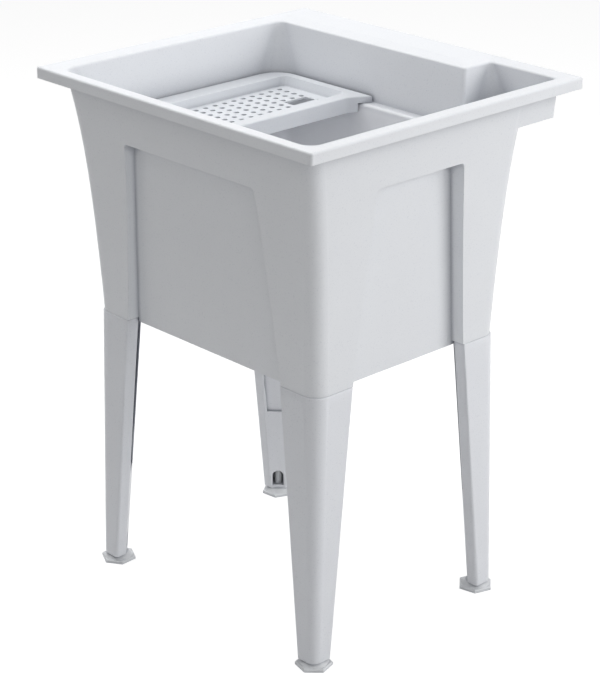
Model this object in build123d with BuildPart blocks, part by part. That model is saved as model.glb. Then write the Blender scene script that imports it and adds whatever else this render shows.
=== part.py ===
from build123d import *
import os
from math import cos, radians, sin

os.makedirs("parts", exist_ok=True)

# Utility laundry sink, millimetres. Z = 0 is the floor, +X is to the right and +Y to the back as
# seen from the front; the origin lies on the floor under the middle of the rim.

# ---- Driving dimensions ----
HEIGHT = 864.0                  # floor to the top of the rim
RIM_W = 626.0                   # rim, left to right
RIM_D = 577.0                   # rim, front to back
LIP_H = 18.0                    # height of the lip that hangs from the rim
RIM_CORNER = 4.5                # plan corner of the rim
RIM_EDGE = 3.5                  # rounding of the rim's outer edge
RIM_FLAT = 5.0                  # level strip along the rim's outer edge
RIM_FALL = 3.5                  # the rest of the rim falls this much towards its opening
DECK_FALL = 25.0                # width of the deck's edge that falls with it
WALL = 4.0                      # wall of the tub moulding
BODY_Y = -28.0                  # middle of the body, in front of the rim's middle
BODY_CORNER = 25.0              # vertical outer corners of the body

SKIRT_Z = 450.0                 # lower edge of the recessed panels
SEAM_Z = 458.0                  # where the posts stand on the legs
LEDGE_Z = 770.0                 # step inside the bowl that carries the tray
PANEL_TOP = LEDGE_Z - WALL      # the step shows outside as the top of the panels
MOUTH_Z = HEIGHT - RIM_FALL     # edge of the rim's opening

# Half width and half depth of the body's flaring skin at each height
SKIN = {
    450.0: (257.6, 197.6),
    560.0: (262.0, 203.0),
    660.0: (267.5, 209.5),
    766.0: (275.0, 220.5),
    864.0: (286.0, 238.5),
}

# Half sizes of the panels between the posts, at their top and at the seam
PANEL_FRONT = (148.6, 181.3)
PANEL_SIDE = (92.0, 121.0)
PANEL_CORNER = 7.0              # upper corners of the panels

# Bowl above the ledge: half width, front wall and rear wall at the ledge and at the rim
UPPER_HALF_W = (271.0, 281.5)
UPPER_FRONT = (-245.0, -261.0)
UPPER_REAR = (188.0, 203.4)
CORNER_FRONT = (46.0, 20.0)     # the corners open out towards the ledge
CORNER_REAR = (46.0, 9.0)
MOUTH_ROUND = 4.0               # rolled inner edge of the rim, the deck and the soap pocket
LEDGE_ROUND = 5.0               # inner edge of the ledge

# Bowl below the ledge: half width and half depth at the skirt and at the ledge
LOWER_HALF_W = (228.0, 242.5)
LOWER_HALF_D = (171.0, 197.0)
LOWER_CORNER = (55.0, 26.0)
FLOOR_Z = 470.0                 # bowl floor along the walls
SUMP_Z = 463.0                  # bowl floor at the drain
FLOOR_ROUND = 22.0
RIB_FOOT = 453.0                # lower edge of the ribs under the floor
RIB_TURN = 37.0                 # the ribs to the corners turn this far from the long axis

# Rear deck and soap pocket
DECK_Y = (169.0, 266.5)         # front and back of the block under the deck
DECK_TUCK = 0.3                 # the block's sides lie this far inside the flank of the body
DECK_FOOT = 797.0
DECK_CORNER = 6.0
DECK_RIBS = (-190.0, -64.0, 62.0)
DECK_RIB_FOOT = 809.0
DECK_END = 6.0                  # rounding of the deck's end beside the soap pocket
POCKET_X = (151.5, 144.0)       # left side of the pocket, at its floor and at the rim
POCKET_REAR = (260.0, 262.6)
POCKET_FLOOR = 801.0
POCKET_OPEN = 100.0             # the pocket's outline runs this far forward into the bowl
POCKET_CORNER = (34.0, 4.0)
FALL_CORNER = 12.0              # plan corners of the rim's fall at its top

# Cutting bodies: how far they reach past what they cut, and how far right through
OVER = 10.0
THROUGH = 320.0

# Legs: the front right one, with distances in Y taken from the body's middle. Each pair gives
# the value at the foot and at the seam.
LEG_FOOT = 12.0
LEG_WALL = 3.5
LEG_OUT_X = (263.0, 259.3)
LEG_OUT_Y = (206.0, 199.3)
LEG_IN_X = (224.0, 181.0)
LEG_IN_Y = (167.0, 122.0)
LEG_CORNER = (15.0, 25.0)
LEG_EDGE = (6.0, 1.5)           # edges where the outer faces meet the turned-in ones
LEG_RETURN = (20.0, 21.5)       # depth of the turned-in edges
LEG_PLATE = 6.0                 # bottom plate that holds the stud
WEB_TOP = 170.0                 # a slanting web closes the leg below this height
ARCH_W = 24.0                   # arched mouth in the web, in front of the stud
ARCH_H = 40.0
SHOULDER = 8.0                  # thickened top of the leg, which carries the post
SEAM_BEVEL = 1.2                # outer edge of the leg's top, which shows as a fine seam
FOOT_EDGE = 1.0
SPIGOT_TOP = 515.0
FIT = 0.4                       # play of the spigot in the post

# Levelling feet
FOOT_R = 30.0                   # hexagonal pad, half across its corners
PAD_H = 5.5
CONE_TOP = 9.0
COLLAR_D = 24.0
STUD_D = 14.5
STUD_TOP = 42.0
STUD_PLAY = 0.2
FOOT_INSET = 20.0               # stud axis from the leg's two outer faces
FOOT_TURN = {"front_left": 33.0, "front_right": 46.0, "rear_left": 6.0, "rear_right": 12.0}

# Drainer tray
TRAY_X = (-269.0, -62.0)
TRAY_Y = (-242.0, 185.0)
TRAY_TOP = 781.0
TRAY_SKIRT = 755.0              # lower edge of the face towards the open bowl
TRAY_WALL = 3.0
TRAY_FLOOR = 766.5
TRAY_EDGE = 2.5
TRAY_WING_Y = 34.8              # the right edge turns out this far from the two ends
TRAY_WING = 20.0
TRAY_BEND = 25.0
TRAY_CORNER = 43.0
SKIRT_SPAN = 384.0              # length of that face, between the ledges at front and rear
BASIN_CORNER = 10.0
BASIN_FLOOR = (-228.0, -112.0, -216.0, 160.0)
BASIN_MOUTH = (-231.0, -84.0, -224.0, 167.0)
HOLE_D = 9.5
HOLE_PITCH = (17.65, 20.45)
HOLE_GRID = (6, 17)
HOLES_X = -167.4                # middle of the six columns
SLOT = (-150.0, -126.0, 88.0, 137.0)

# Drain
BOSS_R = 50.0
DRAIN_D = 48.0                  # threaded body of the strainer
DRAIN_HOLE_D = 50.0
SEAT_D = 90.0
FLANGE_D = 86.0
SEAT_Z = 457.0                  # sunk seat of the flange
DRAIN_END = 412.0
TAIL_D = 38.1                   # 1 1/2 in outlet tube
TAIL_WALL = 1.9
TAIL_END = 335.0
TAIL_COLLAR_H = 2.0             # collar at the tube's upper end, held by the coupling nut
TAIL_NECK_Z = 398.0             # above this height the tube is drawn in by TAIL_NECK
TAIL_NECK = 0.5
TAIL_WASHER_H = 2.0
NECK_WALL = 3.5
THREAD_PLAY = 0.2
SEAL_H = 1.5
WASHER_R = 34.0
WASHER_H = 3.0
LOCKNUT_H = 12.0
COUPLING_R = 29.0
COUPLING_H = 22.0
NUT_LIP = 3.5
BARS_Z = 441.0
BAR_W = 4.0
PLUG_SEAT = 460.0               # step in the drain that carries the stopper
PLUG_R = 23.0
PLUG_H = 4.5
PLUG_TAIL = 7.5
EYE_T = 4.0
EYE_W = 8.0
EYE_HOLE = 3.8
RING_R = 8.0
RING_WIRE = 1.1                 # half thickness of the wire


def at(pair, low, high, z):
    """Value at height z on the straight line from pair[0] at low to pair[1] at high."""
    return pair[0] + (pair[1] - pair[0]) * (z - low) / (high - low)


def level_box(z, x0, x1, y0, y1, radius_front=0.0, radius_rear=None):
    """Rectangle at height z between two x and two y values, its corners rounded."""
    radius_rear = radius_front if radius_rear is None else radius_rear
    with BuildSketch(Plane.XY.offset(z)) as outline:
        with Locations(((x0 + x1) / 2, (y0 + y1) / 2)):
            Rectangle(x1 - x0, y1 - y0)
        if radius_front:
            fillet(outline.vertices().group_by(Axis.Y)[0], radius_front)
            fillet(outline.vertices().group_by(Axis.Y)[-1], radius_rear)
    return outline.sketch


def skin_outlines(inset):
    """Level outlines of the flaring body, moved in by inset."""
    return [
        level_box(z, inset - w, w - inset, BODY_Y - d + inset, BODY_Y + d - inset, BODY_CORNER - inset)
        for z, (w, d) in SKIN.items()
    ]


def lower_outline(z, grow=0.0):
    """Outline of the bowl below the ledge at height z, moved out by grow."""
    w = at(LOWER_HALF_W, SKIRT_Z, LEDGE_Z, z) + grow
    d = at(LOWER_HALF_D, SKIRT_Z, LEDGE_Z, z) + grow
    corner = at(LOWER_CORNER, SKIRT_Z, LEDGE_Z, z) + grow
    return level_box(z, -w, w, BODY_Y - d, BODY_Y + d, corner)


def upper_outline(z, grow=0.0):
    """Outline of the bowl above the ledge at height z, moved out by grow."""
    w = at(UPPER_HALF_W, LEDGE_Z, HEIGHT, z) + grow
    front = at(UPPER_FRONT, LEDGE_Z, HEIGHT, z) - grow
    rear = at(UPPER_REAR, LEDGE_Z, HEIGHT, z) + grow
    corner_front = at(CORNER_FRONT, LEDGE_Z, HEIGHT, z) + grow
    corner_rear = at(CORNER_REAR, LEDGE_Z, HEIGHT, z) + grow
    return level_box(z, -w, w, front, rear, corner_front, corner_rear)


def panel_outline(plane, halves, centre, widen=0.0):
    """Trapezoid of a recessed panel on an upright plane, wider at its foot."""
    foot = SKIRT_Z - OVER
    half_top = halves[0] + widen
    half_foot = at(halves, PANEL_TOP, SEAM_Z, foot) + widen
    with BuildSketch(plane) as outline:
        with BuildLine():
            Polyline(
                (centre - half_top, PANEL_TOP),
                (centre + half_top, PANEL_TOP),
                (centre + half_foot, foot),
                (centre - half_foot, foot),
                close=True,
            )
        make_face()
        if not widen:
            fillet(outline.vertices().group_by(Axis.Y)[-1], PANEL_CORNER)
    return outline.sketch


def deck_block(inset=0.0):
    """Block under the deck, its sides in line with the flanks of the body."""
    outlines = []
    for z, (w, d) in SKIN.items():
        half = w - DECK_TUCK - inset
        outlines.append(level_box(z, -half, half, DECK_Y[0], DECK_Y[1] - inset, DECK_CORNER - inset))
    return loft(outlines, mode=Mode.PRIVATE)


def pocket_outline(z, grow=0.0):
    """Outline of the soap pocket at height z; its right side is the bowl's own wall."""
    left = at(POCKET_X, POCKET_FLOOR, HEIGHT, z) - grow
    right = at(UPPER_HALF_W, LEDGE_Z, HEIGHT, z) + grow
    rear = at(POCKET_REAR, POCKET_FLOOR, HEIGHT, z) + grow
    corner = at(POCKET_CORNER, POCKET_FLOOR, HEIGHT, z) + grow
    return level_box(z, left, right, POCKET_OPEN, rear, corner)


def opening_outline(z, w, front, deck_y, pocket_x, pocket_y, corners):
    """Outline of the rim's opening at height z: the bowl and, beside the deck, the soap pocket."""
    bowl_front = [(-w, front), (w, front)]
    pocket = [(w, pocket_y), (pocket_x, pocket_y), (pocket_x, deck_y)]
    points = bowl_front + pocket + [(-w, deck_y)]
    with BuildSketch(Plane.XY.offset(z)) as outline:
        with BuildLine():
            Polyline(*points, close=True)
        make_face()
        for point, corner in zip(points, corners):
            fillet(outline.vertices().sort_by_distance(Vector(*point))[0], corner)
    return outline.sketch


def opening_sizes(z):
    """Sides and corners of the opening in the bowl's walls at height z."""
    w = at(UPPER_HALF_W, LEDGE_Z, HEIGHT, z)
    front = at(UPPER_FRONT, LEDGE_Z, HEIGHT, z)
    deck_y = at(UPPER_REAR, LEDGE_Z, HEIGHT, z)
    pocket_x = at(POCKET_X, POCKET_FLOOR, HEIGHT, z)
    pocket_y = at(POCKET_REAR, POCKET_FLOOR, HEIGHT, z)
    corner_front = at(CORNER_FRONT, LEDGE_Z, HEIGHT, z)
    corner_rear = at(CORNER_REAR, LEDGE_Z, HEIGHT, z)
    corner_pocket = at(POCKET_CORNER, POCKET_FLOOR, HEIGHT, z)
    corners = [corner_front, corner_front, corner_pocket, corner_pocket, DECK_END, corner_rear]
    return w, front, deck_y, pocket_x, pocket_y, corners


# ---- Tub ----
# Wall of the lower bowl seen from outside: it is also the bottom of the panels
with BuildPart() as bowl_wall:
    loft([lower_outline(SKIRT_Z - 2 * OVER, WALL), lower_outline(LEDGE_Z, WALL)], ruled=True)

# The four panels cut into the skin, down to the wall of the bowl
FRONT_PLANE = Plane.XZ.offset(-BODY_Y)
with BuildPart() as panels:
    extrude(panel_outline(FRONT_PLANE, PANEL_FRONT, 0), THROUGH, both=True)
    extrude(panel_outline(Plane.YZ, PANEL_SIDE, BODY_Y), THROUGH, both=True)
    add(bowl_wall.part, mode=Mode.SUBTRACT)

# The hollows of the four posts, between the skin, the bowl and the sides of the panels
with BuildPart() as post_hollows:
    loft(skin_outlines(WALL))
    with BuildSketch(Plane.XY.offset(PANEL_TOP)):
        Rectangle(RIM_W, 2 * RIM_D)
    extrude(amount=HEIGHT, mode=Mode.SUBTRACT)
    extrude(panel_outline(FRONT_PLANE, PANEL_FRONT, 0, WALL), THROUGH, both=True, mode=Mode.SUBTRACT)
    extrude(panel_outline(Plane.YZ, PANEL_SIDE, BODY_Y, WALL), THROUGH, both=True, mode=Mode.SUBTRACT)
    add(bowl_wall.part, mode=Mode.SUBTRACT)

# The posts end above the skirt of the bowl
with BuildPart() as post_ends:
    with BuildSketch(Plane.XY.offset(SKIRT_Z - OVER)):
        Rectangle(RIM_W, 2 * RIM_D)
    extrude(amount=SEAM_Z - SKIRT_Z + OVER)
    add(bowl_wall.part, mode=Mode.SUBTRACT)

# The lower bowl with its dished floor
DISH_W = LOWER_HALF_W[0] - FLOOR_ROUND
DISH_D = LOWER_HALF_D[0] - FLOOR_ROUND
with BuildPart() as lower_bowl:
    loft([lower_outline(FLOOR_Z), lower_outline(LEDGE_Z + 1)], ruled=True)
    fillet(lower_bowl.edges().group_by(Axis.Z)[0], FLOOR_ROUND)
    with BuildSketch(Plane.XY.offset(FLOOR_Z)) as dish_rim:
        with Locations((0, BODY_Y)):
            RectangleRounded(2 * DISH_W, 2 * DISH_D, LOWER_CORNER[0] - FLOOR_ROUND)
    with BuildSketch(Plane.XY.offset(SUMP_Z)) as dish_foot:
        with Locations((0, BODY_Y)):
            Circle(BOSS_R)
    loft([dish_rim.sketch, dish_foot.sketch], ruled=True)

# The space under the floor: its top follows the dish, with the drain's boss and ribs left standing
with BuildPart() as under_floor:
    loft([lower_outline(SKIRT_Z - OVER), lower_outline(FLOOR_Z - WALL)], ruled=True)
    add(lower_bowl.part.moved(Location((0, 0, -WALL))), mode=Mode.SUBTRACT)
    with BuildSketch(Plane.XY.offset(SKIRT_Z)):
        with Locations((0, BODY_Y)):
            Circle(BOSS_R)
    extrude(amount=2 * OVER, mode=Mode.SUBTRACT)
    with BuildSketch(Plane.XY.offset(RIB_FOOT)):
        with Locations((0, BODY_Y)):
            Rectangle(RIM_W, WALL)
            Rectangle(WALL, RIM_D)
            Rectangle(RIM_W, WALL, rotation=RIB_TURN)
            Rectangle(RIM_W, WALL, rotation=-RIB_TURN)
    extrude(amount=2 * OVER, mode=Mode.SUBTRACT)

# The block under the deck
with BuildPart() as deck:
    add(deck_block())
    with BuildSketch(Plane.XY.offset(DECK_FOOT)):
        Rectangle(RIM_W, 2 * RIM_D)
    extrude(amount=-HEIGHT, mode=Mode.SUBTRACT)

# The channel under the rim, between the lip and the body
with BuildPart() as lip_channel:
    with BuildSketch(Plane.XY.offset(HEIGHT - LIP_H)):
        Rectangle(RIM_W - 2 * WALL, RIM_D - 2 * WALL)
    extrude(amount=MOUTH_Z - WALL - HEIGHT + LIP_H)
    loft(skin_outlines(0), mode=Mode.SUBTRACT)
    add(deck.part, mode=Mode.SUBTRACT)

# The hollow under the deck, open below, between the bowl's rear wall and the apron
with BuildPart() as deck_hollow:
    add(deck_block(WALL))
    with BuildSketch(Plane.XY.offset(MOUTH_Z - WALL)):
        Rectangle(RIM_W, 2 * RIM_D)
    extrude(amount=LIP_H, mode=Mode.SUBTRACT)
    with BuildSketch(Plane.XY.offset(DECK_FOOT - OVER)):
        Rectangle(RIM_W, 2 * RIM_D)
    extrude(amount=-HEIGHT, mode=Mode.SUBTRACT)
    loft([upper_outline(LEDGE_Z, WALL), upper_outline(HEIGHT, WALL)], ruled=True, mode=Mode.SUBTRACT)
    pocket_skin = [pocket_outline(DECK_FOOT - OVER, WALL), pocket_outline(HEIGHT, WALL)]
    loft(pocket_skin, ruled=True, mode=Mode.SUBTRACT)
    with BuildSketch(Plane.XY.offset(DECK_RIB_FOOT)):
        for x in DECK_RIBS:
            with Locations((x, DECK_Y[1])):
                Rectangle(WALL, RIM_D / 2)
    extrude(amount=HEIGHT, mode=Mode.SUBTRACT)

# The air inside the rim: the upper bowl, then the soap pocket as well, then the falling rim
w, front, deck_y, pocket_x, pocket_y, corners = opening_sizes(MOUTH_Z)
rise = (HEIGHT + 1 - MOUTH_Z) / RIM_FALL
fall_sizes = (
    w + (RIM_W / 2 - RIM_FLAT - w) * rise,
    front + (RIM_FLAT - RIM_D / 2 - front) * rise,
    deck_y + DECK_FALL * rise,
    pocket_x - DECK_FALL * rise,
    pocket_y + (RIM_D / 2 - RIM_FLAT - pocket_y) * rise,
    [FALL_CORNER, FALL_CORNER, FALL_CORNER, FALL_CORNER, DECK_END, FALL_CORNER],
)
floor_opening = opening_outline(POCKET_FLOOR, *opening_sizes(POCKET_FLOOR))
mouth_opening = opening_outline(MOUTH_Z, *opening_sizes(MOUTH_Z))
with BuildPart() as mouth:
    loft([upper_outline(LEDGE_Z), upper_outline(POCKET_FLOOR)], ruled=True)
    loft([floor_opening, mouth_opening], ruled=True)
    loft([mouth_opening, opening_outline(HEIGHT + 1, *fall_sizes)], ruled=True)

with BuildPart() as tub:
    # Flaring body with its panels, then the rim and the block of the deck
    loft(skin_outlines(0))
    add(panels.part, mode=Mode.SUBTRACT)
    add(deck.part)
    with BuildSketch(Plane.XY.offset(HEIGHT - LIP_H)):
        RectangleRounded(RIM_W, RIM_D, RIM_CORNER)
    extrude(amount=LIP_H)
    fillet(tub.faces().sort_by(Axis.Z)[-1].edges(), RIM_EDGE)

    # The opening with its rolled edge, then the lower bowl and the edge of its ledge
    add(mouth.part, mode=Mode.SUBTRACT)
    roll = tub.edges().filter_by(
        lambda e: abs(e.bounding_box().min.Z - MOUTH_Z) + abs(e.bounding_box().max.Z - MOUTH_Z) < 0.1
        and abs(e.center().X) < UPPER_HALF_W[1]
        and UPPER_FRONT[1] < e.center().Y < POCKET_REAR[1]
    )
    fillet(roll, MOUTH_ROUND)
    add(lower_bowl.part, mode=Mode.SUBTRACT)
    ledge = tub.edges().filter_by(
        lambda e: abs(e.bounding_box().min.Z - LEDGE_Z) + abs(e.bounding_box().max.Z - LEDGE_Z) < 0.1
        and abs(e.center().X) < LOWER_HALF_W[1] + 1
        and abs(e.center().Y - BODY_Y) < LOWER_HALF_D[1] + 1
    )
    fillet(ledge, LEDGE_ROUND)

    # Hollows below and behind, and the drain's hole in its sunk seat
    add(under_floor.part, mode=Mode.SUBTRACT)
    add(post_ends.part, mode=Mode.SUBTRACT)
    add(post_hollows.part, mode=Mode.SUBTRACT)
    add(lip_channel.part, mode=Mode.SUBTRACT)
    add(deck_hollow.part, mode=Mode.SUBTRACT)
    with Locations(Location((0, BODY_Y, SUMP_Z))):
        CounterBoreHole(DRAIN_HOLE_D / 2, SEAT_D / 2, SUMP_Z - SEAT_Z, BOSS_R)
tub.part.label = "tub"
export_step(tub.part, "parts/tub.step")

# ---- Legs ----


def leg_values(z):
    """Outer faces, inner edges, corner and return depth of the front right leg at height z."""
    pairs = (LEG_OUT_X, LEG_OUT_Y, LEG_IN_X, LEG_IN_Y, LEG_CORNER, LEG_RETURN)
    return [at(pair, LEG_FOOT, SEAM_Z, z) for pair in pairs]


def leg_closed(z, wall=0.0):
    """Leg's outline with the slanting web between its turned-in edges, moved in by wall."""
    x_out, y_out, x_in, y_in, corner, turn = leg_values(z)
    with BuildSketch(Plane.XY.offset(z)) as outline:
        with BuildLine():
            Polyline(
                (x_out, BODY_Y - y_out),
                (x_out, BODY_Y - y_in),
                (x_out - turn, BODY_Y - y_in),
                (x_in, BODY_Y - y_out + turn),
                (x_in, BODY_Y - y_out),
                close=True,
            )
        make_face()
        if wall:
            offset(amount=-wall, kind=Kind.INTERSECTION)
        else:
            for x, y in ((x_out, BODY_Y - y_in), (x_in, BODY_Y - y_out)):
                side_edge = outline.vertices().sort_by_distance(Vector(x, y))[0]
                fillet(side_edge, at(LEG_EDGE, LEG_FOOT, SEAM_Z, z))
        fillet(outline.vertices().sort_by(lambda v: v.X - v.Y)[-1], corner - wall)
    return outline.sketch


def leg_channel(z, wall):
    """Open channel of the leg: the rectangle wall inside its outer faces and turned-in edges."""
    x_out, y_out, x_in, y_in, corner, turn = leg_values(z)
    return corner_box(z, x_in + wall, x_out - wall, y_in + wall, y_out - wall, corner - wall)


def corner_box(z, x_in, x_out, y_in, y_out, corner):
    """Rectangle of the front right leg at height z with its outermost corner rounded."""
    with BuildSketch(Plane.XY.offset(z)) as outline:
        with Locations(((x_in + x_out) / 2, BODY_Y - (y_in + y_out) / 2)):
            Rectangle(x_out - x_in, y_out - y_in)
        fillet(outline.vertices().sort_by(lambda v: v.X - v.Y)[-1], corner)
    return outline.sketch


def spigot_sizes(z, play):
    """Faces of the spigot at height z: play inside the hollow of the post."""
    low, high = list(SKIN)[:2]
    x_out = at((SKIN[low][0], SKIN[high][0]), low, high, z) - WALL - play
    y_out = at((SKIN[low][1], SKIN[high][1]), low, high, z) - WALL - play
    x_in = at(PANEL_FRONT, PANEL_TOP, SEAM_Z, z) + WALL + play
    y_in = at(PANEL_SIDE, PANEL_TOP, SEAM_Z, z) + WALL + play
    return x_in, x_out, y_in, y_out


STUD_X = LEG_OUT_X[0] - FOOT_INSET
STUD_Y = LEG_OUT_Y[0] - FOOT_INSET
INWARD = Vector(-1, 1, 0).normalized()
arch_plane = Plane(
    origin=(STUD_X, BODY_Y - STUD_Y, LEG_FOOT + LEG_PLATE), x_dir=(1, 1, 0), z_dir=INWARD
)
spigot_low = spigot_sizes(SEAM_Z, FIT)
spigot_high = spigot_sizes(SPIGOT_TOP, 3 * FIT)

with BuildPart() as leg:
    # Tapered shell: closed behind the web at the foot, an open channel above it
    loft([leg_closed(LEG_FOOT), leg_closed(SEAM_Z)], ruled=True)
    fillet(leg.faces().sort_by(Axis.Z)[0].edges(), FOOT_EDGE)
    top_edges = leg.faces().sort_by(Axis.Z)[-1].edges()
    chamfer(top_edges.sort_by(lambda e: e.center().X - e.center().Y)[-3:], SEAM_BEVEL)
    loft(
        [leg_channel(WEB_TOP, LEG_WALL), leg_channel(SEAM_Z - SHOULDER, LEG_WALL)],
        ruled=True,
        mode=Mode.SUBTRACT,
    )
    loft(
        [leg_closed(LEG_FOOT + LEG_PLATE, LEG_WALL), leg_closed(WEB_TOP + 1, LEG_WALL)],
        ruled=True,
        mode=Mode.SUBTRACT,
    )
    # Spigot that plugs into the post
    loft(
        [
            corner_box(SEAM_Z - 1, *spigot_low, BODY_CORNER - WALL),
            corner_box(SPIGOT_TOP, *spigot_high, BODY_CORNER - WALL),
        ],
        ruled=True,
    )
    with BuildSketch(Plane.XY.offset(SEAM_Z - SHOULDER - 1)):
        bore_x = (spigot_low[0] + LEG_WALL + 1, spigot_high[1] - LEG_WALL - 2)
        bore_y = (spigot_low[2] + LEG_WALL + 1, spigot_high[3] - LEG_WALL - 2)
        with Locations((sum(bore_x) / 2, BODY_Y - sum(bore_y) / 2)):
            Rectangle(bore_x[1] - bore_x[0], bore_y[1] - bore_y[0])
    extrude(amount=SPIGOT_TOP, mode=Mode.SUBTRACT)
    # Room for the corner of the bowl
    loft(
        [lower_outline(SEAM_Z - 15, WALL + 1), lower_outline(SPIGOT_TOP + 1, WALL + 1)],
        ruled=True,
        mode=Mode.SUBTRACT,
    )
    # Arched mouth in front of the stud, and the stud's thread in the bottom plate
    with BuildSketch(arch_plane):
        with Locations((0, (ARCH_H - ARCH_W / 2) / 2)):
            Rectangle(ARCH_W, ARCH_H - ARCH_W / 2)
        with Locations((0, ARCH_H - ARCH_W / 2)):
            Circle(ARCH_W / 2)
    extrude(amount=FOOT_INSET, mode=Mode.SUBTRACT)
    with Locations((STUD_X, BODY_Y - STUD_Y, LEG_FOOT + LEG_PLATE)):
        Hole(STUD_D / 2 + STUD_PLAY, 2 * LEG_PLATE)

MIDDLE = Plane.XZ.offset(-BODY_Y)
with BuildPart() as leg_front_left:
    mirror(leg.part, about=Plane.YZ)
with BuildPart() as leg_rear_right:
    mirror(leg.part, about=MIDDLE)
with BuildPart() as leg_rear_left:
    mirror(leg_front_left.part, about=MIDDLE)

legs = {
    "leg_front_right": leg.part,
    "leg_front_left": leg_front_left.part,
    "leg_rear_right": leg_rear_right.part,
    "leg_rear_left": leg_rear_left.part,
}
for name, piece in legs.items():
    piece.label = name
    export_step(piece, f"parts/{name}.step")

# ---- Levelling feet ----
FOOT_PLACES = {
    "front_left": (-STUD_X, BODY_Y - STUD_Y),
    "front_right": (STUD_X, BODY_Y - STUD_Y),
    "rear_left": (-STUD_X, BODY_Y + STUD_Y),
    "rear_right": (STUD_X, BODY_Y + STUD_Y),
}
for corner_name, (x, y) in FOOT_PLACES.items():
    with BuildPart() as foot:
        # Hexagonal pad under a low cone, then the collar that meets the leg, then the stud
        with BuildSketch(Plane((x, y, 0))):
            RegularPolygon(FOOT_R, 6, rotation=FOOT_TURN[corner_name])
        extrude(amount=PAD_H)
        fillet(foot.faces().sort_by(Axis.Z)[-1].edges(), FOOT_EDGE)
        with BuildSketch(Plane((x, y, PAD_H))):
            Circle(FOOT_R * cos(radians(30)) - 2)
        with BuildSketch(Plane((x, y, CONE_TOP))):
            Circle(COLLAR_D / 2)
        loft()
        with BuildSketch(Plane((x, y, CONE_TOP))):
            Circle(COLLAR_D / 2)
        extrude(amount=LEG_FOOT - CONE_TOP)
        with BuildSketch(Plane((x, y, LEG_FOOT))):
            Circle(STUD_D / 2)
        extrude(amount=STUD_TOP - LEG_FOOT)
        chamfer(foot.faces().sort_by(Axis.Z)[-1].edges(), 1.5)
    foot.part.label = f"foot_{corner_name}"
    export_step(foot.part, f"parts/foot_{corner_name}.step")

# ---- Drainer tray ----
with BuildSketch(Plane.XY) as tray_plan:
    with BuildLine():
        Polyline(
            (TRAY_X[0], TRAY_Y[0]),
            (TRAY_X[0], TRAY_Y[1]),
            (TRAY_X[1] + TRAY_WING, TRAY_Y[1]),
            (TRAY_X[1], TRAY_Y[1] - TRAY_WING_Y),
            (TRAY_X[1], TRAY_Y[0] + TRAY_WING_Y),
            (TRAY_X[1] + TRAY_WING, TRAY_Y[0]),
            close=True,
        )
    make_face()
    fillet(tray_plan.vertices().group_by(Axis.X)[0], TRAY_CORNER)
    fillet(tray_plan.vertices().filter_by(lambda v: abs(v.X - TRAY_X[1]) < 0.1), TRAY_BEND)


def tray_outline(z, inset):
    """The tray's plan at height z, moved in by inset."""
    with BuildSketch(Plane.XY.offset(z)) as outline:
        add(tray_plan.sketch)
        if inset:
            offset(amount=-inset, kind=Kind.INTERSECTION)
    return outline.sketch


def basin_outline(z, sizes, grow, corner):
    """Outline of the tray's basin at height z, moved out by grow."""
    x0, x1, y0, y1 = sizes
    return level_box(z, x0 - grow, x1 + grow, y0 - grow, y1 + grow, corner + grow)


with BuildPart() as tray:
    # Lip: a shallow tray turned over, its edge standing on the ledge
    extrude(tray_outline(LEDGE_Z, 0), TRAY_TOP - LEDGE_Z)
    fillet(tray.faces().sort_by(Axis.Z)[-1].edges(), TRAY_EDGE)
    extrude(tray_outline(LEDGE_Z, TRAY_WALL), TRAY_TOP - LEDGE_Z - TRAY_WALL, mode=Mode.SUBTRACT)
    # Face towards the open bowl, hanging lower than the ledge between the bowl's walls
    with BuildSketch(Plane.XY.offset(TRAY_SKIRT)):
        add(tray_outline(0, 0))
        add(tray_outline(0, TRAY_WALL), mode=Mode.SUBTRACT)
        with Locations((TRAY_X[1], BODY_Y)):
            Rectangle(60, SKIRT_SPAN, mode=Mode.INTERSECT)
    extrude(amount=LEDGE_Z - TRAY_SKIRT + 1)
    # Basin with sloping sides, its floor perforated
    loft(
        [
            basin_outline(TRAY_FLOOR - TRAY_WALL, BASIN_FLOOR, TRAY_WALL, BASIN_CORNER),
            basin_outline(TRAY_TOP, BASIN_MOUTH, TRAY_WALL, BASIN_CORNER),
        ],
        ruled=True,
    )
    loft(
        [
            basin_outline(TRAY_FLOOR, BASIN_FLOOR, 0, BASIN_CORNER),
            basin_outline(TRAY_TOP, BASIN_MOUTH, 0, BASIN_CORNER),
        ],
        ruled=True,
        mode=Mode.SUBTRACT,
    )
    with BuildSketch(Plane.XY.offset(TRAY_FLOOR)) as perforation:
        with Locations((HOLES_X, BODY_Y)):
            with GridLocations(*HOLE_PITCH, *HOLE_GRID):
                Circle(HOLE_D / 2)
        # The finger slot takes the place of the holes at one corner
        with Locations((sum(SLOT[:2]) / 2 + HOLE_PITCH[0] / 2, sum(SLOT[2:]) / 2)):
            Rectangle(2 * HOLE_PITCH[0], SLOT[3] - SLOT[2] + HOLE_D / 2, mode=Mode.SUBTRACT)
        with Locations((sum(SLOT[:2]) / 2, sum(SLOT[2:]) / 2)):
            RectangleRounded(SLOT[1] - SLOT[0], SLOT[3] - SLOT[2], 3)
    extrude(amount=-2 * TRAY_WALL, mode=Mode.SUBTRACT)
tray.part.label = "drainer_tray"
export_step(tray.part, "parts/drainer_tray.step")

# ---- Drain: everything turns about the middle of the bowl ----
DRAIN = Plane(origin=(0, BODY_Y, 0), x_dir=(1, 0, 0), z_dir=(0, -1, 0))
DRAIN_AXIS = Axis((0, BODY_Y, 0), (0, 0, 1))


def turned(points):
    """Solid of revolution about the drain's axis from (radius, height) points."""
    with BuildPart() as piece:
        with BuildSketch(DRAIN):
            with BuildLine():
                Polyline(*points, close=True)
            make_face()
        revolve(axis=DRAIN_AXIS)
    return piece.part


def ring(inner, outer, low, high):
    """Flat ring about the drain's axis."""
    return turned([(inner, low), (outer, low), (outer, high), (inner, high)])


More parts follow.
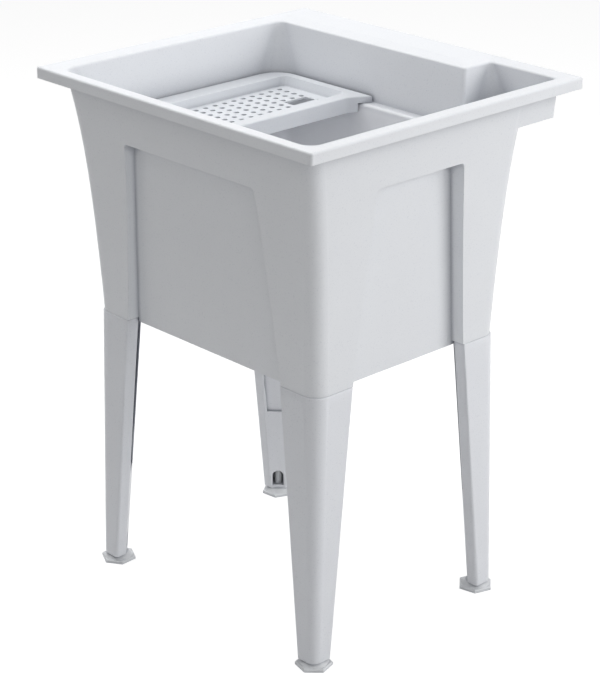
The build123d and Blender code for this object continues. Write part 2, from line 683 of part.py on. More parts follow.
R_NECK = DRAIN_D / 2
R_BORE = R_NECK - NECK_WALL
R_NUT = R_NECK + THREAD_PLAY
flange_foot = SEAT_Z + SEAL_H
with BuildPart() as strainer:
    add(
        turned(
            [
                (FLANGE_D / 2, flange_foot),
                (FLANGE_D / 2, SUMP_Z - 1),
                (FLANGE_D / 2 - 2, SUMP_Z),
                (FLANGE_D / 2 - 6, SUMP_Z),
                (PLUG_R + 1.5, PLUG_SEAT),
                (R_BORE, PLUG_SEAT),
                (R_BORE, DRAIN_END),
                (R_NECK, DRAIN_END),
                (R_NECK, flange_foot),
            ]
        )
    )
    with BuildSketch(Plane((0, BODY_Y, BARS_Z))):
        Rectangle(2 * R_BORE + 2, BAR_W)
        Rectangle(BAR_W, 2 * R_BORE + 2)
        Circle(BAR_W * 1.5)
    extrude(amount=BAR_W)
strainer.part.label = "drain_strainer"
export_step(strainer.part, "parts/drain_strainer.step")

seal = ring(R_NECK + 1.5, FLANGE_D / 2, SEAT_Z, flange_foot)
seal.label = "strainer_seal"
export_step(seal, "parts/strainer_seal.step")

washer_foot = SKIRT_Z - WASHER_H
washer = ring(R_NUT, WASHER_R, washer_foot, SKIRT_Z)
washer.label = "drain_washer"
export_step(washer, "parts/drain_washer.step")

friction_foot = washer_foot - SEAL_H / 2
friction = ring(R_NUT, WASHER_R, friction_foot, washer_foot)
friction.label = "friction_ring"
export_step(friction, "parts/friction_ring.step")

with BuildPart() as locknut:
    with BuildSketch(Plane((0, BODY_Y, friction_foot - LOCKNUT_H))):
        RegularPolygon(WASHER_R, 6)
    extrude(amount=LOCKNUT_H)
    with BuildSketch(Plane((0, BODY_Y, friction_foot - 3))):
        Circle(WASHER_R + 1)
    extrude(amount=3)
    with BuildSketch(Plane((0, BODY_Y, friction_foot - LOCKNUT_H))):
        Circle(R_NUT)
    extrude(amount=LOCKNUT_H, mode=Mode.SUBTRACT)
locknut.part.label = "drain_locknut"
export_step(locknut.part, "parts/drain_locknut.step")

tail_r = TAIL_D / 2
tail_top = DRAIN_END - TAIL_WASHER_H
collar_foot = tail_top - TAIL_COLLAR_H
tail_washer = ring(tail_r - TAIL_WALL, R_NECK - 0.5, tail_top, DRAIN_END)
tail_washer.label = "tailpiece_washer"
export_step(tail_washer, "parts/tailpiece_washer.step")

tailpiece = turned(
    [
        (tail_r - TAIL_WALL, TAIL_END),
        (tail_r, TAIL_END),
        (tail_r, TAIL_NECK_Z),
        (tail_r - TAIL_NECK, TAIL_NECK_Z + TAIL_NECK),
        (tail_r - TAIL_NECK, collar_foot),
        (R_NECK - 0.5, collar_foot),
        (R_NECK - 0.5, tail_top),
        (tail_r - TAIL_WALL, tail_top),
    ]
)
tailpiece.label = "tailpiece"
export_step(tailpiece, "parts/tailpiece.step")

nut_foot = collar_foot - NUT_LIP
with BuildPart() as coupling_nut:
    with BuildSketch(Plane((0, BODY_Y, nut_foot))):
        RegularPolygon(COUPLING_R, 8)
    extrude(amount=COUPLING_H)
    chamfer(coupling_nut.faces().sort_by(Axis.Z)[0].edges(), 1.5)
    with BuildSketch(Plane((0, BODY_Y, nut_foot))):
        Circle(tail_r + THREAD_PLAY)
    extrude(amount=COUPLING_H, mode=Mode.SUBTRACT)
    with BuildSketch(Plane((0, BODY_Y, nut_foot + NUT_LIP))):
        Circle(R_NUT)
    extrude(amount=COUPLING_H, mode=Mode.SUBTRACT)
coupling_nut.part.label = "coupling_nut"
export_step(coupling_nut.part, "parts/coupling_nut.step")

# Stopper: a tapered rubber plug on the step of the drain, with a wire ring through its eye
plug_top = PLUG_SEAT + PLUG_H
with BuildPart() as stopper:
    add(
        turned(
            [
                (0, PLUG_SEAT - PLUG_TAIL),
                (R_BORE - 1.5, PLUG_SEAT - PLUG_TAIL),
                (R_BORE - 0.5, PLUG_SEAT),
                (PLUG_R, PLUG_SEAT),
                (PLUG_R, plug_top - 1),
                (PLUG_R - 1, plug_top),
                (0, plug_top),
            ]
        )
    )
    with BuildSketch(Plane((0, BODY_Y, plug_top))):
        Rectangle(EYE_T, EYE_W)
    extrude(amount=EYE_W)
    fillet(stopper.edges().filter_by(Axis.X).group_by(Axis.Z)[-1], EYE_W / 2 - 0.5)
    with BuildSketch(Plane(origin=(0, BODY_Y, plug_top + EYE_W / 2), x_dir=(0, 1, 0), z_dir=(1, 0, 0))):
        Circle(EYE_HOLE / 2)
    extrude(amount=EYE_T, both=True, mode=Mode.SUBTRACT)
stopper.part.label = "drain_stopper"
export_step(stopper.part, "parts/drain_stopper.step")

# The ring lies over: it rests in the eye and on the top of the plug
ring_high = plug_top + EYE_W / 2 - EYE_HOLE / 2 + RING_WIRE + 0.05
ring_low = plug_top + RING_WIRE + 0.05
lean = (ring_high - ring_low) / (2 * RING_R)
ring_plane = Plane(
    origin=(0, BODY_Y + RING_R * cos(lean), (ring_high + ring_low) / 2),
    x_dir=(1, 0, 0),
    z_dir=(0, sin(lean), cos(lean)),
)
with BuildPart(ring_plane) as pull_ring:
    Torus(RING_R, RING_WIRE)
pull_ring.part.label = "stopper_ring"
export_step(pull_ring.part, "parts/stopper_ring.step")
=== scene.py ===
from math import cos, pi, radians, sin

import bmesh
import bpy
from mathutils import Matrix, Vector


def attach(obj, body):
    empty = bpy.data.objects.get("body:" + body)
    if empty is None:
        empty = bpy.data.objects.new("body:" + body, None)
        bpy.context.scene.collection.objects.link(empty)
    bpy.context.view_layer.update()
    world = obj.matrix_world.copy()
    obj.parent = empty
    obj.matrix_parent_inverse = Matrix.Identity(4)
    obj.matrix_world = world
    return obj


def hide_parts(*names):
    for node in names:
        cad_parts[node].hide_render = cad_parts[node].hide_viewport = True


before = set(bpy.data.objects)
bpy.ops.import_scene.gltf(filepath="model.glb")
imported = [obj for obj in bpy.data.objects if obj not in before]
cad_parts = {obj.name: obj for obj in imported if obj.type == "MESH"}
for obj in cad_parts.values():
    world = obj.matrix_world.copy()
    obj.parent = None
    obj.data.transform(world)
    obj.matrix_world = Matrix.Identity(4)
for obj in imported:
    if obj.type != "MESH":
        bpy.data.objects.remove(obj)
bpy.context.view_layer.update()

# ---- Tub ----
# The whole basin with its rim, rear deck, soap pocket and four hollow posts is one
# injection moulding in light grey polypropylene. It stands on the four legs, which
# plug into the posts from below.

MM = 0.001
BODY_Y = -28.0 * MM             # middle of the body

# Polypropylene: how large its clouds and flecks are, and the heights where the painted shade in its
# creases starts to reach further
CLOUD_MM = 60
FLECK_MM = 2.2
SHADE_REACH_CHANGE = (742 * MM, 792 * MM)

# Middle of the bowl's wall below the ledge, at its foot and at the ledge
BOWL_Z = (450 * MM, 770 * MM)
BOWL_HALF_W = (230 * MM, 244.5 * MM)
BOWL_HALF_D = (173 * MM, 199 * MM)
BOWL_FADE_Z = (758 * MM, 770 * MM)      # the bowl's painted light fades out over these heights


def shade(hex_code):
    """Linear colour of an sRGB hex value."""
    channels = [int(hex_code[i:i + 2], 16) / 255 for i in (1, 3, 5)]
    linear = [c / 12.92 if c <= 0.04045 else ((c + 0.055) / 1.055) ** 2.4 for c in channels]
    return (*linear, 1)


def node(tree, kind, links=None, **settings):
    """Adds a shader or geometry node, sets its values and links its inputs. A setting is an
    attribute of the node, or with in_ before it the value of an input."""
    new = tree.nodes.new(kind)
    for key, value in settings.items():
        if key.startswith("in_"):
            new.inputs[key[3:].replace("_", " ")].default_value = value
        else:
            setattr(new, key, value)
    for socket, source in (links or {}).items():
        tree.links.new(source, new.inputs[socket])
    return new


def calc(tree, operation, *values):
    """Arithmetic on values that are sockets or plain numbers."""
    step = node(tree, "ShaderNodeMath", operation=operation)
    for socket, value in zip(step.inputs, values):
        if isinstance(value, (int, float)):
            socket.default_value = value
        else:
            tree.links.new(value, socket)
    return step.outputs[0]


def map_range(tree, value, source, target=(0.0, 1.0)):
    """Maps a value from one range to another and holds it at the ends."""
    mapped = node(tree, "ShaderNodeMapRange", {"Value": value})
    mapped.inputs["From Min"].default_value, mapped.inputs["From Max"].default_value = source
    mapped.inputs["To Min"].default_value, mapped.inputs["To Max"].default_value = target
    return mapped.outputs["Result"]


def mix_colours(tree, factor, first, second):
    """Mix of two colours, each an sRGB hex value or a socket."""
    mix = node(tree, "ShaderNodeMix", {"Factor": factor}, data_type="RGBA")
    for name, colour in (("A", first), ("B", second)):
        if isinstance(colour, str):
            mix.inputs[name].default_value = shade(colour)
        else:
            tree.links.new(colour, mix.inputs[name])
    return mix.outputs["Result"]


def noise(tree, place, size_mm, detail):
    """Noise whose features are about size_mm large."""
    links = {"Vector": place}
    texture = node(
        tree, "ShaderNodeTexNoise", links, in_Scale=1 / (size_mm * MM), in_Detail=detail
    )
    return texture.outputs["Fac"]


def new_material(name):
    """New material, its node tree and its surface shader."""
    material = bpy.data.materials.new(name)
    material.use_nodes = True
    tree = material.node_tree
    return material, tree, tree.nodes["Principled BSDF"]


def moulded_polypropylene(
    name, colour, fleck, roughness, grain_mm=0.9, edge=0.8, painted_shade_colour="#8E929C", painted_shade_reach=(10, 10)
):
    """Injection moulded polypropylene: an even, softly shining skin with a fine spark-eroded
    grain, faint cloudy flow marks and barely visible pigment flecks. Its edges are rounded by
    the mould, which the bevelled normal draws. Painted shade darkens its creases, seams and
    corners towards a darker colour. It comes from an ambient occlusion mask whose reach is
    given in mm, for below and for above the heights where the reach changes."""
    material, tree, shader = new_material(name)
    place = node(tree, "ShaderNodeTexCoord").outputs["Object"]
    cloud = noise(tree, place, CLOUD_MM, 3.0)
    tint = mix_colours(tree, cloud, *colour)
    fleck_mask = map_range(tree, noise(tree, place, FLECK_MM, 2.0), (0.60, 0.72), (0.0, 0.5))
    flecked = mix_colours(tree, fleck_mask, tint, fleck)

    # Painted shade: ambient occlusion darkens creases, seams and corners towards a darker colour
    height = node(tree, "ShaderNodeSeparateXYZ", {"Vector": place}).outputs["Z"]
    reach = map_range(tree, height, SHADE_REACH_CHANGE, (painted_shade_reach[0] * MM, painted_shade_reach[1] * MM))
    painted_occlusion = node(tree, "ShaderNodeAmbientOcclusion", {"Distance": reach}, samples=8)
    unshaded_share = map_range(tree, painted_occlusion.outputs["AO"], (0.2, 0.9))
    shaded_colour = mix_colours(tree, unshaded_share, painted_shade_colour, flecked)
    tree.links.new(shaded_colour, shader.inputs["Base Color"])

    grain = noise(tree, place, grain_mm, 2.0)
    round_edge = node(tree, "ShaderNodeBevel", samples=6, in_Radius=edge * MM)
    links = {"Height": grain, "Normal": round_edge.outputs["Normal"]}
    bump = node(tree, "ShaderNodeBump", links, in_Strength=0.25, in_Distance=0.08 * MM)
    tree.links.new(bump.outputs["Normal"], shader.inputs["Normal"])
    rough = map_range(tree, cloud, (0.0, 1.0), (roughness - 0.05, roughness + 0.06))
    tree.links.new(rough, shader.inputs["Roughness"])
    shader.inputs["IOR"].default_value = 1.49
    return material


def painted_bowl_light(material, colour):
    """Paints light into the bowl's inside below the ledge by drawing it in a paler colour. The
    painted light ends in the middle of the bowl's wall, so that the outside keeps its own colour."""
    tree = material.node_tree
    place = node(tree, "ShaderNodeTexCoord").outputs["Object"]
    axes = node(tree, "ShaderNodeSeparateXYZ", {"Vector": place}).outputs
    width = map_range(tree, axes["Z"], BOWL_Z, BOWL_HALF_W)
    depth = map_range(tree, axes["Z"], BOWL_Z, BOWL_HALF_D)
    from_middle = calc(tree, "SUBTRACT", axes["Y"], BODY_Y)
    bowl_light_mask = map_range(tree, axes["Z"], BOWL_FADE_Z, (1.0, 0.0))
    for distance, limit in ((axes["X"], width), (from_middle, depth)):
        within = calc(tree, "LESS_THAN", calc(tree, "ABSOLUTE", distance), limit)
        bowl_light_mask = calc(tree, "MULTIPLY", bowl_light_mask, within)
    base = tree.nodes["Principled BSDF"].inputs["Base Color"]
    outside = base.links[0].from_socket
    tree.links.new(mix_colours(tree, bowl_light_mask, outside, colour), base)


def dress(cad_node, material):
    """Gives a CAD node its material."""
    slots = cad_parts[cad_node].data.materials
    slots.clear()
    slots.append(material)


# Painted shade in its creases reaches 10 mm below the ledge and 55 mm higher up, on the deck and in
# the pocket
TUB_PLASTIC = moulded_polypropylene(
    "tub_polypropylene", ("#E6E8EC", "#E9EBEE"), "#D2D5DC", 0.42, painted_shade_reach=(10, 55)
)
# Painted light: the bowl's inside below the ledge is drawn paler
painted_bowl_light(TUB_PLASTIC, "#F5F6F9")
dress("tub", TUB_PLASTIC)

# ---- Legs ----
# Four tapered legs moulded in the same polypropylene. Each one plugs into a post of the tub,
# is closed near the floor by a slanting web with an arched mouth in front of the foot's stud,
# and above that by a thin wall set back between its turned-in edges.

LEG_PLASTIC = moulded_polypropylene(
    "leg_polypropylene", ("#E4E6EB", "#E7E9ED"), "#D0D3DA", 0.40
)
CORNERS = ("front_left", "front_right", "rear_left", "rear_right")
STUD_AXIS = (243.0 * MM, 186.0 * MM)    # from the middle of the body
SLANT = 0.5 ** 0.5              # the legs' open sides face inward at 45 degrees

# Outline of a leg, as distances from the body's middle, at its underside and at the seam
LEG_HEIGHTS = (12.0 * MM, 458.0 * MM)
LEG_OUT_X = (263.0 * MM, 259.3 * MM)
LEG_OUT_Y = (206.0 * MM, 199.3 * MM)
LEG_IN_X = (224.0 * MM, 181.0 * MM)
LEG_IN_Y = (167.0 * MM, 122.0 * MM)
LEG_RETURN = (20.0 * MM, 21.5 * MM)     # depth of the turned-in edges
LEG_WALL = 3.5 * MM
LEG_SHARP = 25                  # degrees between faces from which an edge stays sharp
MERGE = 0.002 * MM

# Bottom plate: the plug that completes it, and the bore for the stud
PLATE_TOP = 18.0 * MM
PLUG_HALF_W = 12.4 * MM
PLUG_START = -0.4 * MM          # inward from the stud's axis
PLUG_LIFT = 0.05 * MM           # short of the plate's underside
PLUG_SHORT = 0.1 * MM           # short of the leg's open side
STUD_HOLE = 7.5 * MM            # radius
STUD_HOLE_SIDES = 48
BORE_OVER = 1 * MM

# Arched mouth in the web
MOUTH_W = 20.0 * MM
MOUTH_H = 30.0 * MM
MOUTH_ARC_STEPS = 12
MOUTH_CUT = (1.0 * MM, 24.0 * MM)       # inward from the stud's axis
MOUTH_SUNK = 0.02 * MM

# Wall between the turned-in edges
BACK_WALL_Z = (168.0 * MM, 451.0 * MM)
BACK_WALL_INSET = 4.0 * MM      # behind the open side of the leg
BACK_WALL = 2.5 * MM


def corner_signs(corner):
    """Directions of a corner from the body's middle, along X and Y."""
    return (1 if "right" in corner else -1), (1 if "rear" in corner else -1)


def show(piece):
    """Links an object to the scene."""
    bpy.context.scene.collection.objects.link(piece)


def evaluated_mesh(piece):
    """New mesh of what a piece's modifiers make of it."""
    bpy.context.view_layer.update()
    ready = piece.evaluated_get(bpy.context.evaluated_depsgraph_get())
    return bpy.data.meshes.new_from_object(ready)


def smooth(mesh, degrees):
    """Smooth shading, with edges of more than this angle left sharp."""
    mesh.polygons.foreach_set("use_smooth", [True] * len(mesh.polygons))
    mesh.set_sharp_from_angle(angle=radians(degrees))


def leg_face(z):
    """Ends of the leg's open side at height z, as distances from the body's middle."""
    t = (z - LEG_HEIGHTS[0]) / (LEG_HEIGHTS[1] - LEG_HEIGHTS[0])
    out_x, out_y, in_x, in_y, turn = (
        low + (high - low) * t
        for low, high in (LEG_OUT_X, LEG_OUT_Y, LEG_IN_X, LEG_IN_Y, LEG_RETURN)
    )
    return Vector((out_x - turn, in_y)), Vector((in_x, out_y - turn))


def solid_between(name, sections, corner):
    """Closed solid through matching outlines, given as distances from the body's middle and
    put on the side of the corner named."""
    side, depth = corner_signs(corner)
    mesh = bmesh.new()
    rings = [
        [mesh.verts.new((side * x, BODY_Y + depth * y, z)) for x, y, z in section]
        for section in sections
    ]
    for low, high in zip(rings, rings[1:]):
        for k in range(len(low)):
            mesh.faces.new((low[k - 1], low[k], high[k], high[k - 1]))
    mesh.faces.new(rings[0])
    mesh.faces.new(rings[-1])
    bmesh.ops.recalc_face_normals(mesh, faces=mesh.faces)
    data = bpy.data.meshes.new(name)
    mesh.to_mesh(data)
    mesh.free()
    return bpy.data.objects.new(name, data)


def across(w, u):
    """Point w inward from the stud's axis and u to the side of it, from the body's middle."""
    return (STUD_AXIS[0] - (w + u) * SLANT, STUD_AXIS[1] - (w - u) * SLANT)


def plate_sections():
    """Outlines of the plug that completes the bottom plate as far as the leg's open side."""
    sections = []
    for z in (LEG_HEIGHTS[0] + PLUG_LIFT, PLATE_TOP):
        near, _ = leg_face(z)
        end = (sum(STUD_AXIS) - near.x - near.y) * SLANT - PLUG_SHORT
        outline = (
            (PLUG_START, -PLUG_HALF_W), (end, -PLUG_HALF_W),
            (end, PLUG_HALF_W), (PLUG_START, PLUG_HALF_W),
        )
        sections.append([(*across(w, u), z) for w, u in outline])
    return sections


def back_wall_sections():
    """Outlines of the wall whose sides end inside the leg's turned-in edges."""
    sections = []
    sunk = LEG_WALL / 2
    for z in BACK_WALL_Z:
        near, far = leg_face(z)
        front = near.x + near.y + BACK_WALL_INSET / SLANT
        rear = front + BACK_WALL / SLANT
        sections.append([
            (front - near.y - sunk, near.y + sunk, z),
            (far.x + sunk, front - far.x - sunk, z),
            (far.x + sunk, rear - far.x - sunk, z),
            (rear - near.y - sunk, near.y + sunk, z),
        ])
    return sections


def mouth_sections():
    """Outlines of the arch, on both sides of the web."""
    half = MOUTH_W / 2
    outline = [(-half, PLATE_TOP - MOUTH_SUNK), (half, PLATE_TOP - MOUTH_SUNK)]
    for k in range(MOUTH_ARC_STEPS + 1):
        turn = pi * k / MOUTH_ARC_STEPS
        outline.append((half * cos(turn), PLATE_TOP + MOUTH_H - half + half * sin(turn)))
    return [[(*across(w, u), z) for u, z in outline] for w in MOUTH_CUT]


def bore_sections():
    """Circles above and below the bottom plate, round the stud's axis."""
    turns = [2 * pi * k / STUD_HOLE_SIDES for k in range(STUD_HOLE_SIDES)]
    return [
        [(STUD_AXIS[0] + STUD_HOLE * cos(a), STUD_AXIS[1] + STUD_HOLE * sin(a), z) for a in turns]
        for z in (LEG_HEIGHTS[0] - BORE_OVER, PLATE_TOP + BORE_OVER)
    ]


LEG_STEPS = (
    ("leg_plate", "UNION", plate_sections()),
    ("leg_back_wall", "UNION", back_wall_sections()),
    ("leg_mouth", "DIFFERENCE", mouth_sections()),
    ("leg_bore", "DIFFERENCE", bore_sections()),
)


def finished_leg(corner):
    """The leg's moulding, merged, with its plate and back wall added and its mouth and bore cut."""
    moulding = bmesh.new()
    moulding.from_mesh(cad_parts["leg_" + corner].data)
    bmesh.ops.remove_doubles(moulding, verts=moulding.verts, dist=MERGE)
    data = bpy.data.meshes.new("moulded_leg_" + corner)
    moulding.to_mesh(data)
    moulding.free()
    leg = bpy.data.objects.new(data.name, data)
    show(leg)
    tools = []
    for name, operation, sections in LEG_STEPS:
        tool = solid_between(name, sections, corner)
        show(tool)
        tools.append(tool)
        step = leg.modifiers.new(name, "BOOLEAN")
        step.operation = operation
        step.solver = "EXACT"
        step.object = tool
    made = evaluated_mesh(leg)
    leg.modifiers.clear()
    leg.data = made
    for tool in tools:
        bpy.data.objects.remove(tool)
    made.materials.clear()
    made.materials.append(LEG_PLASTIC)
    smooth(made, LEG_SHARP)
    return leg


for corner in CORNERS:
    leg = finished_leg(corner)
    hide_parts("leg_" + corner)
    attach(leg, "sink")

# ---- Levelling feet ----
# Each foot is one moulding: a hexagonal pad with a chamfered top, a low cone, a collar
# that meets the leg, and a threaded stud that screws into the leg's bottom plate.

# The feet's painted crease shade is lighter than on the other mouldings
FOOT_PLASTIC = moulded_polypropylene(
    "foot_polypropylene", ("#E5E7EA", "#E8EAEC"), "#D2D5DA", 0.38, painted_shade_colour="#C4C7CD"
)
FOOT_SIZES = {
    "Pad Radius": 30.0 * MM,
    "Pad Edge": 4.0 * MM,
    "Pad Height": 5.5 * MM,
    "Cone Radius": 25.0 * MM,
    "Cone Top": 11.0 * MM,
    "Collar Radius": 17.0 * MM,
    "Collar Top": 11.7 * MM,
    "Root Radius": 6.4 * MM,
    "Thread Depth": 0.82 * MM,
    "Thread Pitch": 2.5 * MM,
    "Stud Top": 42.0 * MM,
}
FOOT_TURNS = {"front_left": 33.0, "front_right": 46.0, "rear_left": 6.0, "rear_right": 12.0}
FOOT_SHARP = 40
PAD_SIDES = 6
CONE_SIDES = 48
STUD_SIDES = 32
THREAD_FREE = 1.2               # pitches without thread, half of them at each end
THREAD_STEPS = 28               # in each turn
THREAD_SIDES = 4


def sized_tree(name, sizes):
    """New geometry tree with a named input for each size, and its input and output nodes."""
    tree = bpy.data.node_groups.new(name, "GeometryNodeTree")
    tree.interface.new_socket("Geometry", in_out="OUTPUT", socket_type="NodeSocketGeometry")
    tree.interface.new_socket("Material", in_out="INPUT", socket_type="NodeSocketMaterial")
    for label, value in sizes.items():
        socket = tree.interface.new_socket(label, in_out="INPUT", socket_type="NodeSocketFloat")
        socket.default_value = value
    return tree, node(tree, "NodeGroupInput").outputs, node(tree, "NodeGroupOutput")


def vector(tree, **parts):
    """Vector of X, Y and Z parts, each a socket or a plain number."""
    combined = node(tree, "ShaderNodeCombineXYZ")
    for axis, value in parts.items():
        if isinstance(value, (int, float)):
            combined.inputs[axis].default_value = value
        else:
            tree.links.new(value, combined.inputs[axis])
    return combined.outputs[0]


def placed(tree, shape, turn=None, **along):
    """A shape turned about Z and moved along X, Y or Z."""
    links = {"Geometry": shape, "Translation": vector(tree, **along)}
    if turn is not None:
        links["Rotation"] = vector(tree, Z=turn)
    return node(tree, "GeometryNodeTransform", links).outputs[0]


def tier(tree, sides, low, high, radius_low, radius_high):
    """Upright frustum between two heights."""
    depth = calc(tree, "SUBTRACT", high, low)
    links = {"Radius Bottom": radius_low, "Radius Top": radius_high, "Depth": depth}
    cone = node(tree, "GeometryNodeMeshCone", links, in_Vertices=sides)
    return placed(tree, cone.outputs["Mesh"], Z=low)


def screw_thread(tree, low, high, root, depth, pitch):
    """Helical ridge wound on a cylinder between two heights."""
    free = calc(tree, "MULTIPLY", pitch, THREAD_FREE)
    length = calc(tree, "SUBTRACT", calc(tree, "SUBTRACT", high, low), free)
    turns = calc(tree, "DIVIDE", length, pitch)
    links = {"Rotations": turns, "Start Radius": root, "End Radius": root, "Height": length}
    helix = node(tree, "GeometryNodeCurveSpiral", links, in_Resolution=THREAD_STEPS)
    links = {"Curve": helix.outputs["Curve"]}
    upright = node(tree, "GeometryNodeSetCurveNormal", links, mode="Z_UP")
    links = {"Radius": depth}
    ridge = node(tree, "GeometryNodeCurvePrimitiveCircle", links, in_Resolution=THREAD_SIDES)
    links = {"Curve": upright.outputs["Curve"], "Profile Curve": ridge.outputs["Curve"]}
    wound = node(tree, "GeometryNodeCurveToMesh", links, in_Fill_Caps=True)
    start = calc(tree, "ADD", low, calc(tree, "MULTIPLY", pitch, THREAD_FREE / 2))
    return placed(tree, wound.outputs["Mesh"], Z=start)


def close_tree(tree, shapes, material, output, turn, x, y):
    """Unites the shapes, turns and places them, realizes instances and sets the material."""
    united = node(tree, "GeometryNodeMeshBoolean", operation="UNION", solver="EXACT")
    united.inputs["Self Intersection"].default_value = True
    for shape in shapes:
        tree.links.new(shape, united.inputs["Mesh 2"])
    whole = placed(tree, united.outputs[0], turn, X=x, Y=y)
    real = node(tree, "GeometryNodeRealizeInstances", {"Geometry": whole})
    links = {"Geometry": real.outputs[0], "Material": material}
    painted = node(tree, "GeometryNodeSetMaterial", links)
    tree.links.new(painted.outputs[0], output.inputs[0])


def grown_piece(name, tree, material, values, sharp):
    """Object whose mesh is what the tree makes of the values, without the modifier."""
    mesh = bpy.data.meshes.new(name)
    piece = bpy.data.objects.new(name, mesh)
    show(piece)
    maker = piece.modifiers.new("maker", "NODES")
    maker.node_group = tree
    sockets = {
        item.name: item.identifier
        for item in tree.interface.items_tree
        if item.in_out == "INPUT"
    }
    maker[sockets["Material"]] = material
    for label, value in values.items():
        maker[sockets[label]] = value
    made = evaluated_mesh(piece)
    piece.modifiers.remove(maker)
    piece.data = made
    made.name = name
    bpy.data.meshes.remove(mesh)
    smooth(made, sharp)
    return piece


foot_tree, size, foot_output = sized_tree(
    "levelling_foot", {**FOOT_SIZES, "Turn": 0.0, "Place X": 0.0, "Place Y": 0.0}
)
pad_radius, pad_edge, pad_height = size["Pad Radius"], size["Pad Edge"], size["Pad Height"]
cone_radius, cone_top = size["Cone Radius"], size["Cone Top"]
collar_radius, collar_top = size["Collar Radius"], size["Collar Top"]
root, stud_top = size["Root Radius"], size["Stud Top"]
depth, pitch = size["Thread Depth"], size["Thread Pitch"]
chamfer = calc(foot_tree, "SUBTRACT", pad_height, pad_edge)
pad_top_radius = calc(foot_tree, "SUBTRACT", pad_radius, chamfer)
close_tree(
    foot_tree,
    [
        tier(foot_tree, PAD_SIDES, 0.0, pad_edge, pad_radius, pad_radius),
        tier(foot_tree, PAD_SIDES, pad_edge, pad_height, pad_radius, pad_top_radius),
        tier(foot_tree, CONE_SIDES, pad_edge, cone_top, cone_radius, collar_radius),
        tier(foot_tree, CONE_SIDES, pad_height, collar_top, collar_radius, collar_radius),
        tier(foot_tree, STUD_SIDES, pad_height, stud_top, root, root),
        screw_thread(foot_tree, collar_top, stud_top, root, depth, pitch),
    ],
    size["Material"],
    foot_output,
    size["Turn"],
    size["Place X"],
    size["Place Y"],
)
for corner in CORNERS:
    side, rear = corner_signs(corner)
    values = {
        "Turn": radians(FOOT_TURNS[corner]),
        "Place X": STUD_AXIS[0] * side,
        "Place Y": STUD_AXIS[1] * rear + BODY_Y,
    }
    foot = grown_piece("levelling_foot_" + corner, foot_tree, FOOT_PLASTIC, values, FOOT_SHARP)
    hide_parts("foot_" + corner)
    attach(foot, "foot_" + corner + "_body")

# ---- Drainer tray ----
# A lift-out tray with a perforated basin, moulded in the same polypropylene. Its lip lies
# on the ledge at the left of the bowl.

# Painted shade in its creases reaches 14 mm
TRAY_PLASTIC = moulded_polypropylene(
    "tray_polypropylene", ("#DCDFE4", "#E0E3E7"), "#CDD0D6", 0.36, edge=1.0, painted_shade_reach=(14, 14)
)
dress("drainer_tray", TRAY_PLASTIC)

# ---- Drain ----
# The strainer, its nuts and the outlet tube are white polypropylene; rubber, foam and
# pressed fibre rings seal them. A rubber stopper with a steel wire ring closes the drain.

DRAIN_PLASTIC = moulded_polypropylene(
    "drain_polypropylene", ("#E2E2DE", "#E7E7E3"), "#D8D8D4", 0.33, edge=0.6
)
for part in ("drain_strainer", "drain_locknut", "coupling_nut", "tailpiece"):
    dress(part, DRAIN_PLASTIC)


def ring_material(name, colour, roughness, grain_mm):
    """Rubber, foam or pressed fibre: dull and even, with a fine grain that the light catches."""
    material, tree, shader = new_material(name)
    place = node(tree, "ShaderNodeTexCoord").outputs["Object"]
    grain = noise(tree, place, grain_mm, 3.0)
    tree.links.new(mix_colours(tree, grain, *colour), shader.inputs["Base Color"])
    bump = node(
        tree, "ShaderNodeBump", {"Height": grain}, in_Strength=0.4, in_Distance=0.1 * MM
    )
    tree.links.new(bump.outputs["Normal"], shader.inputs["Normal"])
    shader.inputs["Roughness"].default_value = roughness
    return material


BLACK_RUBBER = ring_material("black_rubber", ("#262627", "#303031"), 0.62, 0.5)
SEAL_FOAM = ring_material("closed_cell_foam", ("#333335", "#444446"), 0.85, 0.9)
PRESSED_FIBRE = ring_material("pressed_fibre", ("#7F6F58", "#95846B"), 0.80, 1.2)
STOPPER_RUBBER = ring_material("white_rubber", ("#DEDEDA", "#E6E6E2"), 0.55, 0.6)
dress("drain_washer", BLACK_RUBBER)
dress("tailpiece_washer", BLACK_RUBBER)
dress("strainer_seal", SEAL_FOAM)
dress("friction_ring", PRESSED_FIBRE)
dress("drain_stopper", STOPPER_RUBBER)

STEEL, _, wire_shader = new_material("stainless_wire")
wire_shader.inputs["Base Color"].default_value = shade("#C9C9C9")
wire_shader.inputs["Metallic"].default_value = 1.0
wire_shader.inputs["Roughness"].default_value = 0.22
dress("stopper_ring", STEEL)

# ---- Floor, light and camera ----
# A white studio sweep: the backdrop shows white to the camera and to reflections, and the
# floor keeps the soft shadow of the legs.

FLOOR_HALF = 6.0
FLOOR_GLOW = 0.9                # seen by the camera and in reflections only
SKY_LIGHT = 0.05                # on the object
SKY_SEEN = 1.0                  # by the camera and in reflections


def seen_directly(tree):
    """1 for camera and glossy rays, 0 for all others."""
    ray = node(tree, "ShaderNodeLightPath").outputs
    return calc(tree, "MAXIMUM", ray["Is Camera Ray"], ray["Is Glossy Ray"])


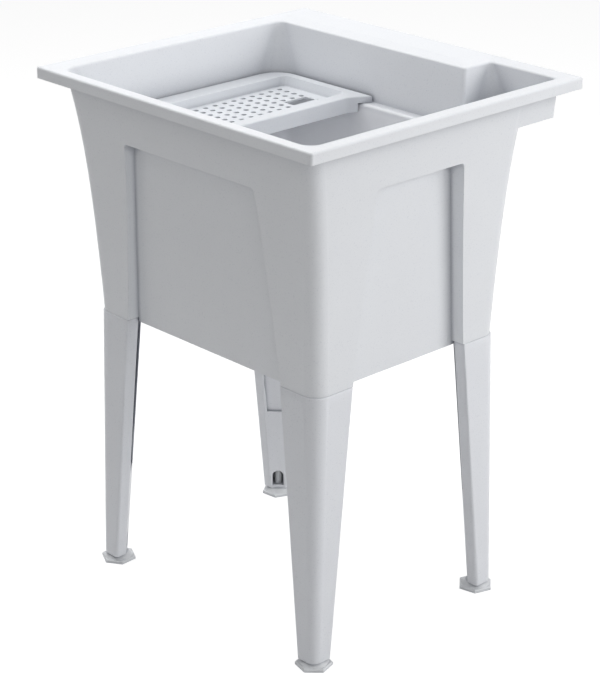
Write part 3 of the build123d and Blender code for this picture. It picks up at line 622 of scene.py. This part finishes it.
floor_mesh = bpy.data.meshes.new("studio_floor")
floor_corners = [
    (x * FLOOR_HALF, y * FLOOR_HALF, 0) for x, y in ((-1, -1), (1, -1), (1, 1), (-1, 1))
]
floor_mesh.from_pydata(floor_corners, [], [(0, 1, 2, 3)])
floor = bpy.data.objects.new("studio_floor", floor_mesh)
show(floor)
paint, floor_tree, floor_shader = new_material("studio_floor_paint")
floor_shader.inputs["Base Color"].default_value = shade("#F0F0F0")
floor_shader.inputs["Roughness"].default_value = 0.9
glow = node(floor_tree, "ShaderNodeEmission", in_Strength=FLOOR_GLOW)
lit = node(floor_tree, "ShaderNodeBsdfDiffuse", in_Color=shade("#8F8F8F"))
soft = node(floor_tree, "ShaderNodeAddShader", {0: glow.outputs[0], 1: lit.outputs[0]})
links = {0: seen_directly(floor_tree), 1: floor_shader.outputs[0], 2: soft.outputs[0]}
surface = node(floor_tree, "ShaderNodeMixShader", links).outputs[0]
floor_tree.links.new(surface, floor_tree.nodes["Material Output"].inputs["Surface"])
floor_mesh.materials.append(paint)

world = bpy.data.worlds.new("studio")
bpy.context.scene.world = world
world.use_nodes = True
sky = world.node_tree
backdrop = sky.nodes["Background"]
backdrop.inputs["Color"].default_value = (1, 1, 1, 1)
strength = map_range(sky, seen_directly(sky), (0.0, 1.0), (SKY_LIGHT, SKY_SEEN))
sky.links.new(strength, backdrop.inputs["Strength"])

# Square soft lights turned to the middle of the sink: name, place, size and power
LIGHT_AIM = Vector((0, 0, 0.6))
SOFTBOXES = (
    ("right_rear", (2.6, 1.5, 1.6), 1.8, 45),
    ("right_front", (2.4, -1.8, 1.8), 1.8, 12),
    ("left_front", (-2.2, -2.2, 1.8), 1.8, 7),
    ("top_left", (-1.6, 0.0, 3.2), 1.8, 42),
    ("top_rear", (0.2, 2.0, 3.0), 1.8, 14),
    ("overhead", (0.0, 0.0, 2.6), 4.0, 30),
)
for name, place, width, power in SOFTBOXES:
    lamp = bpy.data.lights.new(name, "AREA")
    lamp.shape = "SQUARE"
    lamp.size = width
    lamp.energy = power
    light = bpy.data.objects.new(name, lamp)
    light.location = place
    light.rotation_euler = (LIGHT_AIM - Vector(place)).to_track_quat("-Z", "Y").to_euler()
    show(light)

CAMERA_PLACE = (2.3298, -2.2015, 1.7312)
VIEW_TURN = radians(46.83)      # the camera looks in over the front right corner
VIEW_DROP = radians(22.41)
lens = bpy.data.cameras.new("camera")
lens.sensor_width = 36
lens.lens = 111.6
camera = bpy.data.objects.new("camera", lens)
camera.location = CAMERA_PLACE
camera.rotation_euler = (pi / 2 - VIEW_DROP, 0, VIEW_TURN)
show(camera)
bpy.context.scene.camera = camera
bpy.context.scene.view_settings.view_transform = "Standard"
